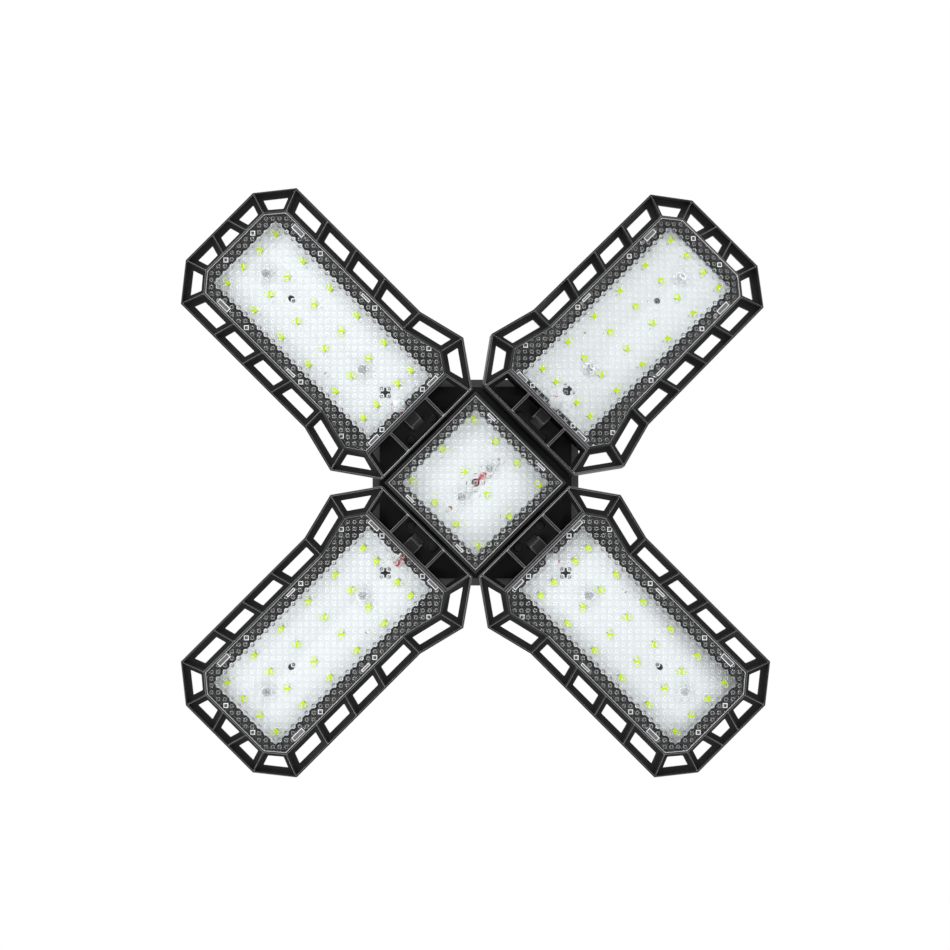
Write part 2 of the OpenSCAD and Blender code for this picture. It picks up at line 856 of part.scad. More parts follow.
// Ferrite core with its wound bobbin
module driver_transformer() {
    color("#3a3a3d")
        hung()
            translate([driver_x - 15, -7, driver_back_z]) {
                difference() {
                    translate([-10, -8, 3]) cube([20, 16, 6]);
                    translate([-6.5, -9, 2]) cube([13, 4.5, 8]);
                    translate([-6.5, 4.5, 2]) cube([13, 4.5, 8]);
                }
                upright(6.2, 0, 3, [0, 0]);
                upright(6.2, 9, 12, [0, 0]);
            }
}

module driver_choke() {
    color("#7a4a2a")
        hung()
            translate([driver_x - 15, 12, driver_back_z + choke_r[1]])
                rotate([90, 0, 0])
                    rotate_extrude()
                        translate([choke_r[0], -choke_w / 2])
                            square([choke_r[1] - choke_r[0], choke_w]);
}

module driver_film_capacitor() {
    color("#c9a227")
        hung()
            translate([driver_x - 15 - choke_r[1] - part_gap - film[0], 12 - film[1] / 2, driver_back_z])
                cube(film);
}

// One pair of leads from the driver to the hinge of each wing
module output_leads() {
    start = 20;
    end = lead_hole_u - 1.2;
    turn_z = hub_back_z - 2.5;
    for (i = [1:4])
        under_wing(i)
            for (side = [-1, 1])
                color(side < 0 ? "#b3262b" : "#e9e9e4") {
                    upright(lead_r, turn_z, driver_z, [start, side * lead_v]);
                    upright(lead_r, back_z + 3.4, turn_z, [end, side * lead_v]);
                    for (u = [start, end])
                        translate([u, side * lead_v, turn_z]) sphere(r = lead_r);
                    translate([start, side * lead_v, turn_z])
                        rotate([0, 90, 0])
                            cylinder(h = end - start, r = lead_r);
                }
}

// One lead to the centre contact and one to the screw shell
module mains_leads() {
    turn_z = body_h + spigot_h + 1.5;
    reach = sqrt(pow(cap_r - cap_t, 2) - pow(mains_at[1], 2)) - mains_at[0] - 0.2;
    hung() {
        color("#2b2b2b") upright(mains_r, driver_back_z, contact_z, [0, 0]);
        color("#e9e9e4") {
            upright(mains_r, driver_back_z, turn_z, mains_at);
            translate([mains_at[0], mains_at[1], turn_z]) sphere(r = mains_r);
            translate([mains_at[0], mains_at[1], turn_z])
                rotate([0, 90, 0])
                    cylinder(h = reach, r = mains_r);
        }
    }
}

module screw_shell() {
    t = cap_t;
    color(zinc)
        hung()
            rotate_extrude()
                polygon([
                    [cap_r - t, body_h], [cap_r, body_h], [cap_r, shell_top - 1.5],
                    [cap_r - 3, shell_top + 0.6], [cap_r - 5.2, shell_top + 0.6],
                    [cap_r - 5.2, shell_top + 0.6 - t], [cap_r - 3.2, shell_top + 0.6 - t],
                    [cap_r - t, shell_top - 1.7]
                ]);
}

module cap_insulator() {
    color("#15151a")
        hung()
            rotate_extrude()
                polygon([
                    [1.2, shell_top - 0.8], [cap_r - 4, shell_top - 0.8],
                    [cap_r - 4, shell_top + 0.6 - cap_t], [cap_r - 5.2, shell_top + 0.6 - cap_t],
                    [cap_r - 5.2, shell_top + 1.2], [5.6, contact_z],
                    [1.2, contact_z]
                ]);
}

module centre_contact() {
    top = contact_z;
    color(solder)
        hung()
            rotate_extrude()
                polygon([[0, top], [4.8, top], [4.6, top + 0.9], [2.6, top + 1.9], [0, top + 2]]);
}

// --- every sub-part by name ----------------------------------------------------------------

hub_frame();
hub_lens();
hub_board();
hub_leds();
hub_board_screws();
hub_leads();
driver_case();
case_screws();
driver_board();
driver_board_screws();
driver_capacitors();
driver_transformer();
driver_choke();
driver_film_capacitor();
output_leads();
mains_leads();
screw_shell();
cap_insulator();
centre_contact();

for (i = [1:4]) {
    as_wing(i) wing_frame();
    as_wing(i) wing_heat_sink();
    as_wing(i) wing_lens();
    as_wing(i) wing_board();
    as_wing(i) wing_led_set();
    as_wing(i) wing_board_screw_pair();
    as_wing(i) wing_sink_screw_set();
    as_wing(i) wing_lead_pair();
    as_wing(i) wing_lead_hood();
    under_wing(i) hinge_pin();
}
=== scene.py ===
"""A folding garage ceiling light, dressed over its CAD frame.

Lengths are in metres, or in millimetres where mm multiplies them or a comment says so.
"""
import math

import bmesh
import bpy
from mathutils import Matrix, Vector


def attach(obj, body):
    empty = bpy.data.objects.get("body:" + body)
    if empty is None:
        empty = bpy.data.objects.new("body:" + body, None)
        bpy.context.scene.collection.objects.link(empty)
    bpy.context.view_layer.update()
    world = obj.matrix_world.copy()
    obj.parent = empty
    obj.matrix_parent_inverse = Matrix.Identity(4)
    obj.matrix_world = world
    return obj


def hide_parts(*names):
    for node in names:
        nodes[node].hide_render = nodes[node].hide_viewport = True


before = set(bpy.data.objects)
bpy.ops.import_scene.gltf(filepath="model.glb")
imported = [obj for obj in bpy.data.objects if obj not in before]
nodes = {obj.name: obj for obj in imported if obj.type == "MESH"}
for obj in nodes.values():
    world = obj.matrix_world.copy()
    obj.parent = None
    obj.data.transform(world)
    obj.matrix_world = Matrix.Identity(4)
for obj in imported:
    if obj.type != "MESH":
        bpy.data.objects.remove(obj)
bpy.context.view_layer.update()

# --- Camera --------------------------------------------------------------------------------
# The camera stands below the hanging lamp and looks straight up at its lit faces. In the
# picture wing 1 points up and to the right, and wings 2 to 4 follow it clockwise.
focal_length, sensor_width = 75.79, 36
camera_place = (0.002563, -0.002917, -1.088)
up_in_picture = Vector((1, -1, 0)).normalized()
right_in_picture = Vector((1, 1, 0)).normalized()
view = Matrix((right_in_picture, up_in_picture, Vector((0, 0, -1)))).transposed()
camera_data = bpy.data.cameras.new("camera")
camera_data.lens = focal_length
camera_data.sensor_width = sensor_width
camera = bpy.data.objects.new("camera", camera_data)
camera.matrix_world = Matrix.Translation(camera_place) @ view.to_4x4()
bpy.context.collection.objects.link(camera)
bpy.context.scene.camera = camera

# --- Room and lamps ------------------------------------------------------------------------
# A plain pale room, white behind the lamp and in its gloss, with even light elsewhere. Six
# low and three high soft lamps stand round it, so that flat faces stay even and edges catch
# light. None of the high ones is at 45 degrees, where wing 1's tilted lens would glare.
bpy.context.scene.view_settings.view_transform = "Standard"
even_strength, white_strength = 0.4, 1
low_lean, low_size = 68, (0.6, 0.2)
low_watts = {90: 0.75, 150: 0.75, 210: 0.7, 270: 0.55, 330: 0.4, 30: 0.45}
high_lean, high_size = 42, (0.5, 0.3)
high_watts = {135: 0.18, 225: 0.18, 315: 0.18}
lamp_aim = Vector((0, 0, -0.08))
lamp_distance = 1.15
lamp_spread = math.radians(70)


def linked(tree, kind, feeds=(), **settings):
    """A new node with its settings. Each input, by name or number, is a link or a value."""
    node = tree.nodes.new(kind)
    for key, value in settings.items():
        setattr(node, key, value)
    for socket, value in feeds:
        if isinstance(value, bpy.types.NodeSocket):
            tree.links.new(value, node.inputs[socket])
        else:
            node.inputs[socket].default_value = value
    return node


world = bpy.data.worlds.new("room")
world.use_nodes = True
bpy.context.scene.world = world
room = world.node_tree
room.nodes.clear()
ray = room.nodes.new("ShaderNodeLightPath")
seen_or_glossy = linked(room, "ShaderNodeMath", [
    (0, ray.outputs["Is Camera Ray"]), (1, ray.outputs["Is Glossy Ray"])], operation="ADD")
shown_white = linked(room, "ShaderNodeMath", [
    (0, seen_or_glossy.outputs[0]), (1, ray.outputs["Is Transmission Ray"]),
], operation="ADD", use_clamp=True)
even = linked(room, "ShaderNodeBackground", [
    ("Color", (1, 1, 1, 1)), ("Strength", even_strength)])
white = linked(room, "ShaderNodeBackground", [
    ("Color", (1, 1, 1, 1)), ("Strength", white_strength)])
either = linked(room, "ShaderNodeMixShader", [
    ("Fac", shown_white.outputs[0]), (1, even.outputs[0]), (2, white.outputs[0])])
linked(room, "ShaderNodeOutputWorld", [("Surface", either.outputs[0])])


def soft_lamp(name, degrees, lean, size, watts):
    """An area lamp at `lean` degrees from the view's line and `degrees` round it."""
    round_view, from_view = math.radians(degrees), math.radians(lean)
    out = right_in_picture * math.cos(round_view) + up_in_picture * math.sin(round_view)
    way = out * math.sin(from_view) + Vector((0, 0, -math.cos(from_view)))
    data = bpy.data.lights.new(name, "AREA")
    data.shape = "RECTANGLE"
    data.size, data.size_y = size
    data.energy = watts
    data.spread = lamp_spread
    lamp = bpy.data.objects.new(name, data)
    turn = way.to_track_quat("Z", "Y").to_matrix().to_4x4()
    lamp.matrix_world = Matrix.Translation(way * lamp_distance + lamp_aim) @ turn
    bpy.context.collection.objects.link(lamp)


for degrees, watts in low_watts.items():
    soft_lamp(f"low_lamp_{degrees}", degrees, low_lean, low_size, watts)
for degrees, watts in high_watts.items():
    soft_lamp(f"high_lamp_{degrees}", degrees, high_lean, high_size, watts)

# --- Floor ---------------------------------------------------------------------------------
# A plain pale painted floor lies under the camera. Its paint is the first of the surfaces
# that share one grain, which is a shader group.
floor_z, floor_reach = -1.3, 4
floor_mesh = bpy.data.meshes.new("floor")
floor_corners = [
    (x * floor_reach, y * floor_reach, floor_z)
    for x, y in ((-1, -1), (1, -1), (1, 1), (-1, 1))
]
floor_mesh.from_pydata(floor_corners, [], [(0, 1, 2, 3)])
floor = bpy.data.objects.new("floor", floor_mesh)
bpy.context.collection.objects.link(floor)

# From a colour and a roughness the grain gives both with fine and broad variation, and a
# height for a Bump node.
grain = bpy.data.node_groups.new("surface_grain", "ShaderNodeTree")
for socket, kind in (
    ("Vector", "NodeSocketVector"), ("Color", "NodeSocketColor"),
    ("Roughness", "NodeSocketFloat"), ("Scale", "NodeSocketFloat"),
    ("Tone", "NodeSocketFloat"), ("Wear", "NodeSocketFloat"),
):
    grain.interface.new_socket(socket, in_out="INPUT", socket_type=kind)
for socket, kind in (
    ("Color", "NodeSocketColor"), ("Roughness", "NodeSocketFloat"),
    ("Height", "NodeSocketFloat"),
):
    grain.interface.new_socket(socket, in_out="OUTPUT", socket_type=kind)
broad_to_fine = 0.03
given = grain.nodes.new("NodeGroupInput")
fine = linked(grain, "ShaderNodeTexNoise", [
    ("Vector", given.outputs["Vector"]), ("Scale", given.outputs["Scale"]),
    ("Detail", 3.0), ("Roughness", 0.6),
])
broad_scale = linked(grain, "ShaderNodeMath", [
    (0, given.outputs["Scale"]), (1, broad_to_fine)], operation="MULTIPLY")
broad = linked(grain, "ShaderNodeTexNoise", [
    ("Vector", given.outputs["Vector"]), ("Scale", broad_scale.outputs[0]), ("Detail", 4.0),
])
both = linked(grain, "ShaderNodeMath", [
    (0, fine.outputs["Fac"]), (1, broad.outputs["Fac"])], operation="ADD")
swing = linked(grain, "ShaderNodeMath", [
    (0, both.outputs[0]), (1, 1.0)], operation="SUBTRACT")
tone = linked(grain, "ShaderNodeMath", [
    (0, swing.outputs[0]), (1, given.outputs["Tone"]), (2, 1.0)], operation="MULTIPLY_ADD")
toned = linked(grain, "ShaderNodeVectorMath", [
    (0, given.outputs["Color"]), ("Scale", tone.outputs[0])], operation="SCALE")
rough = linked(grain, "ShaderNodeMath", [
    (0, swing.outputs[0]), (1, given.outputs["Wear"]), (2, given.outputs["Roughness"]),
], operation="MULTIPLY_ADD")
linked(grain, "NodeGroupOutput", [
    ("Color", toned.outputs["Vector"]), ("Roughness", rough.outputs[0]),
    ("Height", fine.outputs["Fac"]),
])


def bare_finish(name):
    """A new material, with its node tree, its Principled shader and its output."""
    made = bpy.data.materials.new(name)
    made.use_nodes = True
    tree = made.node_tree
    return made, tree, tree.nodes["Principled BSDF"], tree.nodes["Material Output"]


def grained(name, color, roughness, scale=1500.0, tone=0.25, wear=0.12, depth=0.00003,
            strength=0.6, metallic=0.0, specular=0.5):
    """A grained surface of one substance, on the object's own coordinates."""
    made, tree, shader, _ = bare_finish(name)
    place = tree.nodes.new("ShaderNodeTexCoord")
    group = linked(tree, "ShaderNodeGroup", [
        ("Vector", place.outputs["Object"]), ("Color", (*color, 1)),
        ("Roughness", roughness), ("Scale", scale), ("Tone", tone), ("Wear", wear),
    ], node_tree=grain)
    bump = linked(tree, "ShaderNodeBump", [
        ("Height", group.outputs["Height"]), ("Distance", depth), ("Strength", strength)])
    tree.links.new(group.outputs["Color"], shader.inputs["Base Color"])
    tree.links.new(group.outputs["Roughness"], shader.inputs["Roughness"])
    tree.links.new(bump.outputs["Normal"], shader.inputs["Normal"])
    shader.inputs["Metallic"].default_value = metallic
    shader.inputs["Specular IOR Level"].default_value = specular
    return made


floor_paint = grained("floor_paint", (0.8, 0.8, 0.8), 0.6, scale=40, tone=0.04)
floor_mesh.materials.append(floor_paint)

# --- Black mouldings -----------------------------------------------------------------------
# Hub frame, wing frames, lead hoods and driver case are injection-moulded black plastic
# with a satin grain. Every edge is softened, and the rounded edges of frames and hoods carry
# a painted highlight.
# Each wing hangs on its hinge pin, and wing 1 is set 12 degrees back from flat.
mm = 0.001
wings = (1, 2, 3, 4)
lit_face = Vector((0, 0, -0.088))
hinge = Vector((0.050, 0, 0.015))
wing_1_tilt = -12
welded_within, flat_within = 2e-6, math.radians(1)
rounded_above = math.radians(32)
lens_middle, highlight_depth = 110 * mm, 1.3 * mm
tray_lip, tray_end = 36.5 * mm, 48 * mm
lens_side, lens_tip, tip_band = 30.2 * mm, 173 * mm, 176 * mm
groove_x, groove_z, groove_width = (40.6, 46.9), (3 * mm, 3.9 * mm), 0.55
grooves_at = (-2.3, -1, 0.3, 1.6)
hood_highlight_slope = -0.25
black = grained("black_plastic", (0.022, 0.022, 0.0225), 0.42, scale=2600, specular=0.28)
# The edge and lip paints are lighter greys that stand for lamp glints: painted highlights.
black_edge_highlight = grained("black_plastic_painted_highlight", (0.13, 0.13, 0.135), 0.35, scale=2600,
                     specular=0.6)
black_lip_highlight = grained("black_plastic_lip_painted_highlight", (0.48, 0.48, 0.485), 0.35, scale=2600,
                    specular=0.6)


def new_object(name, mesh, *materials):
    """A new object of a mesh, with these materials."""
    for material in materials:
        mesh.materials.append(material)
    made = bpy.data.objects.new(name, mesh)
    bpy.context.collection.objects.link(made)
    return made


def merged_copy(node, name):
    """A copy of a CAD node's mesh with doubled points merged and flat areas made whole."""
    mesh = nodes[node].data.copy()
    mesh.name = name
    mesh.materials.clear()
    work = bmesh.new()
    work.from_mesh(mesh)
    bmesh.ops.remove_doubles(work, verts=work.verts, dist=welded_within)
    bmesh.ops.dissolve_limit(
        work, angle_limit=flat_within, verts=work.verts, edges=work.edges)
    bmesh.ops.recalc_face_normals(work, faces=work.faces)
    work.to_mesh(mesh)
    work.free()
    return mesh


def applied(made):
    """The object with its modifiers built into its mesh, and the modifiers gone."""
    depsgraph = bpy.context.evaluated_depsgraph_get()
    evaluated = made.evaluated_get(depsgraph)
    mesh = bpy.data.meshes.new_from_object(evaluated, depsgraph=depsgraph)
    made.modifiers.clear()
    made.data = mesh
    return made


def cut_by(made, cutter, operation):
    """The object cut by another, which is used up."""
    cut = made.modifiers.new("cut", "BOOLEAN")
    cut.operation = operation
    cut.solver = "EXACT"
    cut.object = cutter
    applied(made)
    bpy.data.objects.remove(cutter)


def prism(outline, z0, z1):
    """A straight block over an outline of (x, y) points."""
    work = bmesh.new()
    low = [work.verts.new((x, y, z0)) for x, y in outline]
    high = [work.verts.new((x, y, z1)) for x, y in outline]
    work.faces.new(low)
    work.faces.new(high)
    for k in range(len(low)):
        j = (k + 1) % len(low)
        work.faces.new((low[k], low[j], high[j], high[k]))
    bmesh.ops.recalc_face_normals(work, faces=work.faces)
    mesh = bpy.data.meshes.new("prism")
    work.to_mesh(mesh)
    work.free()
    return mesh


def joined(name, meshes, matrix):
    """One object of several meshes, each keeping its material if it has one, moved."""
    work = bmesh.new()
    materials = []
    for mesh in meshes:
        start = len(work.faces)
        work.from_mesh(mesh)
        work.faces.ensure_lookup_table()
        held = mesh.materials[0] if mesh.materials else None
        if held not in materials:
            materials.append(held)
        for face in work.faces[start:]:
            face.material_index = materials.index(held)
    work.transform(matrix)
    whole = bpy.data.meshes.new(name)
    work.to_mesh(whole)
    work.free()
    return new_object(name, whole, *[held for held in materials if held])


def box(x0, y0, x1, y1):
    """The outline of a rectangle in millimetres, as points in metres."""
    return [(x0 * mm, y0 * mm), (x1 * mm, y0 * mm), (x1 * mm, y1 * mm), (x0 * mm, y1 * mm)]


def front_frame(i):
    """From the own frame of wing i, or of the hub for 0, to the lamp's. In its own frame x
    runs along the wing and z grows away from the lit face."""
    hang = Matrix.Translation(lit_face)
    if i == 0:
        return hang
    tilt = Matrix.Rotation(math.radians(wing_1_tilt if i == 1 else 0), 4, "Y")
    turn = Matrix.Rotation(math.radians(90 * (i - 1)), 4, "Z")
    return hang @ turn @ Matrix.Translation(hinge) @ tilt @ Matrix.Translation(-hinge)


def painted_edge_highlights(made, front):
    """Rounded edges near the front that face the middle of the lens get a painted highlight,
    and the lip beside it the brightest painted highlight. Deeper edges, and most that face
    outwards, stay black."""
    back = front.inverted()
    hub = made.name.startswith("hub")
    middle = Vector((0 if hub else lens_middle, 0))
    # plain stays black, while edge and lip are the painted highlight paints.
    plain, edge, lip = 0, 1, 2
    for face in made.data.polygons:
        if face.material_index != edge:
            continue
        at = back @ face.center
        way = back.to_3x3() @ face.normal
        off = at.xy - middle
        along = 0 if abs(way.x) > abs(way.y) else 1
        inward = way[along] * off[along] < 0
        if at.z > highlight_depth:
            face.material_index = plain
        elif hub:
            face.material_index = lip if inward else plain
        elif at.x < tray_end:
            face.material_index = lip if inward and at.x < tray_lip else edge
        elif abs(at.y) < lens_side and at.x < lens_tip:
            face.material_index = lip if inward else edge
        elif along == 1 or at.x > tip_band:
            face.material_index = edge if inward else plain
        else:
            face.material_index = edge if way.x > 0 else plain


def softened(node, body, slot, width, *materials, segments=2, front=None, cutter=None):
    """A CAD node's own shape with rounded edges, in its place. The second material, a
    painted highlight, goes on the rounded edges and the third, a brighter painted highlight,
    on the lip, and a cutter leaves its hollows."""
    made = new_object(node + "_look", merged_copy(node, node + "_look"), *materials)
    bevel = made.modifiers.new("edges", "BEVEL")
    bevel.width = width
    bevel.segments = segments
    bevel.limit_method = "ANGLE"
    bevel.angle_limit = rounded_above
    bevel.use_clamp_overlap = False
    bevel.harden_normals = True
    bevel.material = 1 if len(materials) > 1 else -1
    made.data.shade_smooth()
    applied(made)
    if cutter:
        cut_by(made, cutter, "DIFFERENCE")
    if len(materials) > 2:
        painted_edge_highlights(made, front)
    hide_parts(node)
    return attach(made, body)


black_and_highlights = (black, black_edge_highlight, black_lip_highlight)
softened("hub_frame", "lamp", "black_plastic", 0.3 * mm, *black_and_highlights, front=front_frame(0))
softened("driver_case", "lamp", "black_plastic", 0.35 * mm, black)
for i in wings:
    softened(f"wing{i}_frame", f"wing{i}", "black_plastic", 0.3 * mm, *black_and_highlights,
             front=front_frame(i))
    grooves = [
        prism(box(groove_x[0], y, groove_x[1], y + groove_width), *groove_z)
        for y in grooves_at
    ]
    hood = softened(
        f"wing{i}_lead_cover", f"wing{i}", "black_plastic", 0.25 * mm, black, black_edge_highlight,
        cutter=joined("grooves", grooves, front_frame(i)))
    # Hood faces that slope towards the front and the hub take the lighter edge paint as a
    # painted highlight.
    back = front_frame(i).inverted().to_3x3()
    for face in hood.data.polygons:
        way = back @ face.normal
        if way.z < hood_highlight_slope and way.x < hood_highlight_slope:
            face.material_index = 1

# --- Heat sinks ----------------------------------------------------------------------------
# Each wing's back is a finned aluminium casting under black paint, with a dry, grainy skin.
# It closes the wing behind the LED board and is held by four screws.
sink = grained("sink_black", (0.01, 0.01, 0.0105), 0.55, scale=1800, specular=0.12,
               depth=0.00001)
for i in wings:
    softened(f"wing{i}_heat_sink", f"wing{i}", "sink_black", 0.3 * mm, sink)

# --- LED boards ----------------------------------------------------------------------------
# Aluminium-backed boards under white solder mask, with a very faint dotted texture. Each is
# held by two screws through its middle line.
mask = grained("board_white", (0.78, 0.815, 0.83), 0.38, scale=900, tone=0.02, wear=0.1,
               depth=0.00001, strength=0.4)
for i in wings:
    softened(f"wing{i}_board", f"wing{i}", "board_white", 0.1 * mm, mask)
softened("hub_board", "lamp", "board_white", 0.1 * mm, mask)

# --- LEDs ----------------------------------------------------------------------------------
# Each LED is a white package with a yellow-green phosphor window and a dark bar of painted
# shade at one end, where its terminal lies in shadow. They are soldered in rows, 24 on a
# wing and 12 on the hub (places in millimetres).
led_half_x, led_half_y, led_height, led_edge = 1.75 * mm, 1.4 * mm, 0.7 * mm, 0.12 * mm
window_squareness, window_rise, window_border = 4.0, 0.02 * mm, 0.08 * mm
# The corners of the dark bar at the LED's end, which is painted shade.
end_shade_from = (-1.72 * mm, -0.9 * mm, -0.035 * mm)
end_shade_to, end_shade_edge = (-1.45 * mm, 0.9 * mm, 0.1 * mm), 0.02 * mm
led_z = 5.5 * mm
column_start, column_step, columns = 63.1, 19.26, 6
led_rows, first_column_rows = (6.1, 17.4), (7.5, 16.8)
hub_columns, hub_rows = (-21.6, 0, 21.6), (-23.55, -7.85, 7.85, 23.55)
package_white = grained("led_package", (0.8, 0.82, 0.82), 0.35, scale=3000, tone=0.03)
phosphor = grained("led_phosphor", (0.62, 0.86, 0.003), 0.6, scale=5000, tone=0.08,
                   specular=0.2)
# The dark bar is painted shade over the terminal at the LED's end.
led_end_shade = grained("led_end_painted_shade", (0.05, 0.05, 0.05), 0.5, scale=5000)

repeat = bpy.data.node_groups.new("repeat_on_points", "GeometryNodeTree")
for socket, kind in (
    ("Points", "NodeSocketGeometry"), ("Piece", "NodeSocketObject"),
    ("Material", "NodeSocketMaterial"),
):
    repeat.interface.new_socket(socket, in_out="INPUT", socket_type=kind)
repeat.interface.new_socket("Geometry", in_out="OUTPUT", socket_type="NodeSocketGeometry")
given = repeat.nodes.new("NodeGroupInput")
piece = linked(repeat, "GeometryNodeObjectInfo", [("Object", given.outputs["Piece"])])
turned = linked(repeat, "GeometryNodeInputNamedAttribute", [("Name", "turn")],
                data_type="FLOAT_VECTOR")
placed = linked(repeat, "GeometryNodeInstanceOnPoints", [
    ("Points", given.outputs["Points"]), ("Instance", piece.outputs["Geometry"]),
    ("Rotation", turned.outputs["Attribute"]),
])
real = linked(repeat, "GeometryNodeRealizeInstances", [("Geometry", placed.outputs[0])])
dressed = linked(repeat, "GeometryNodeSetMaterial", [
    ("Geometry", real.outputs[0]), ("Material", given.outputs["Material"])])
linked(repeat, "NodeGroupOutput", [("Geometry", dressed.outputs[0])])
sockets = {s.name: s.identifier for s in repeat.interface.items_tree if s.in_out == "INPUT"}


def repeated(piece_mesh, spots, material):
    """A plain mesh of piece_mesh at each (x, y, z, turn about z), all of one material."""
    points = bpy.data.meshes.new("points")
    points.from_pydata([spot[:3] for spot in spots], [], [])
    turns = points.attributes.new("turn", "FLOAT_VECTOR", "POINT")
    turns.data.foreach_set("vector", [a for spot in spots for a in (0, 0, spot[3])])
    made = new_object("repeated", points)
    original = new_object("original", piece_mesh)
    maker = made.modifiers.new("repeat", "NODES")
    maker.node_group = repeat
    maker[sockets["Piece"]] = original
    maker[sockets["Material"]] = material
    applied(made)
    mesh = made.data
    mesh.materials.clear()
    mesh.materials.append(material)
    bpy.data.objects.remove(made)
    bpy.data.objects.remove(original)
    return mesh


def box_mesh(x0, y0, z0, x1, y1, z1, edge, segments=2):
    """A box between two corners with rounded edges."""
    work = bmesh.new()
    bmesh.ops.create_cube(work, size=1)
    for vert in work.verts:
        vert.co = Vector((
            x0 if vert.co.x < 0 else x1, y0 if vert.co.y < 0 else y1,
            z0 if vert.co.z < 0 else z1,
        ))
    bmesh.ops.bevel(work, geom=work.edges[:], offset=edge, segments=segments,
                    affect="EDGES", profile=0.5, clamp_overlap=True)
    mesh = bpy.data.meshes.new("box")
    work.to_mesh(mesh)
    work.free()
    return mesh


def squared(angle, squareness):
    """How far a rounded square of half side 1 reaches at this angle. 2 gives a circle."""
    across, up = abs(math.cos(angle)), abs(math.sin(angle))
    return (across ** squareness + up ** squareness) ** (-1 / squareness)


package = box_mesh(
    -led_half_x, -led_half_y, 0.0, led_half_x, led_half_y, led_height, led_edge)
end_shade_bar = box_mesh(*end_shade_from, *end_shade_to, end_shade_edge)
window = bmesh.new()
bmesh.ops.create_circle(window, cap_ends=True, segments=24, radius=1)
for vert in window.verts:
    angle = math.atan2(vert.co.y, vert.co.x)
    reach = squared(angle, window_squareness)
    vert.co = Vector((
        led_half_x * reach * math.cos(angle), led_half_y * reach * math.sin(angle),
        -window_rise,
    ))
bmesh.ops.inset_region(window, faces=window.faces[:], thickness=window_border, depth=0.0)
window_mesh = bpy.data.meshes.new("window")
window.to_mesh(window_mesh)
window.free()

wing_spots = []
for column in range(columns):
    for side in (-1, 1):
        for row in led_rows if column else first_column_rows:
            x = (column_start + column_step * column) * mm
            wing_spots.append((x, side * row * mm, led_z, 0.0))
hub_spots = [(x * mm, y * mm, led_z, 0.0) for x in hub_columns for y in hub_rows]
for i in (0, *wings):
    spots = wing_spots if i else hub_spots
    leds = joined(f"leds_{i}" if i else "leds_hub", [
        repeated(package.copy(), spots, package_white),
        repeated(window_mesh.copy(), spots, phosphor),
        repeated(end_shade_bar.copy(), spots, led_end_shade),
    ], front_frame(i))
    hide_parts(f"wing{i}_leds" if i else "hub_leds")
    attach(leds, f"wing{i}" if i else "lamp")

# --- Lenses --------------------------------------------------------------------------------
# Clear polycarbonate covers, clipped into the frames. Their front is moulded in rows of
# small blunt knobs with flat valleys between them, on a grid at 45 degrees to each wing.
# A profile gives a knob's (radius, height) rings in millimetres, from its top down.
pitch = 3.415 * mm
knob_sides, cover_front, cover_back = 16, 1.25, 9 * mm
wing_profile, wing_squareness = ((0.5, 0.54), (1.06, 0.16), (1.16, 0.0)), 2.6
hub_profile, hub_squareness = ((0.5, 0.75), (0.98, 0.45), (1.3, 0.0)), 3.2
wing_knobs_from, wing_knobs_to, wing_knobs_beside = 46 * mm, 174 * mm, 38 * mm
hub_knobs_to = 34 * mm
wing_grid, hub_grid = ((51.8 * mm, 0), 55), ((0, 0), 16)
grid_weld = 0.02 * mm
flank_slopes, crease = (0.70, 0.93), math.radians(19.5)


def clear_plastic(name, roughness, transmission):
    """Clear polycarbonate. Light for what lies behind it passes straight through."""
    made, tree, shader, surface = bare_finish(name)
    shader.inputs["Base Color"].default_value = (0.97, 0.985, 0.99, 1)
    shader.inputs["Roughness"].default_value = roughness
    shader.inputs["IOR"].default_value = 1.49
    shader.inputs["Transmission Weight"].default_value = transmission
    place = tree.nodes.new("ShaderNodeTexCoord")
    waves = linked(tree, "ShaderNodeTexNoise", [
        ("Vector", place.outputs["Object"]), ("Scale", 300.0), ("Detail", 1.0)])
    wavy = linked(tree, "ShaderNodeBump", [
        ("Height", waves.outputs["Fac"]), ("Distance", 0.00001), ("Strength", 0.3)])
    tree.links.new(wavy.outputs["Normal"], shader.inputs["Normal"])
    path = tree.nodes.new("ShaderNodeLightPath")
    through = tree.nodes.new("ShaderNodeBsdfTransparent")
    straight = linked(tree, "ShaderNodeMath", [
        (0, path.outputs["Is Shadow Ray"]), (1, path.outputs["Is Diffuse Ray"]),
    ], operation="MAXIMUM")
    mix = linked(tree, "ShaderNodeMixShader", [
        ("Fac", straight.outputs[0]), (1, shader.outputs[0]), (2, through.outputs[0])])
    tree.links.new(mix.outputs[0], surface.inputs["Surface"])
    return made


clear = clear_plastic("clear_lens", 0.12, 1.0)
flank = clear_plastic("clear_lens_flank", 0.25, 0.87)


def knob_mesh(profile, squareness):
    """One knob with its square of flat valley."""
    work = bmesh.new()
    directions = [2 * math.pi * k / knob_sides for k in range(knob_sides)]
    rings = []
    for radius, height in profile:
        ring = []
        for a in directions:
            r = radius * mm * squared(a, squareness)
            spot = (r * math.cos(a), r * math.sin(a), (cover_front - height) * mm)
            ring.append(work.verts.new(spot))
        rings.append(ring)
    valley = []
    for a in directions:
        r = pitch / 2 / max(abs(math.cos(a)), abs(math.sin(a)))
        valley.append(work.verts.new((r * math.cos(a), r * math.sin(a), cover_front * mm)))
    rings.append(valley)
    work.faces.new(rings[0])
    for inner, outer in zip(rings, rings[1:]):
        for k in range(knob_sides):
            j = (k + 1) % knob_sides
            work.faces.new((inner[k], outer[k], outer[j], inner[j]))
    mesh = bpy.data.meshes.new("knob")
    work.to_mesh(mesh)
    work.free()
    return mesh


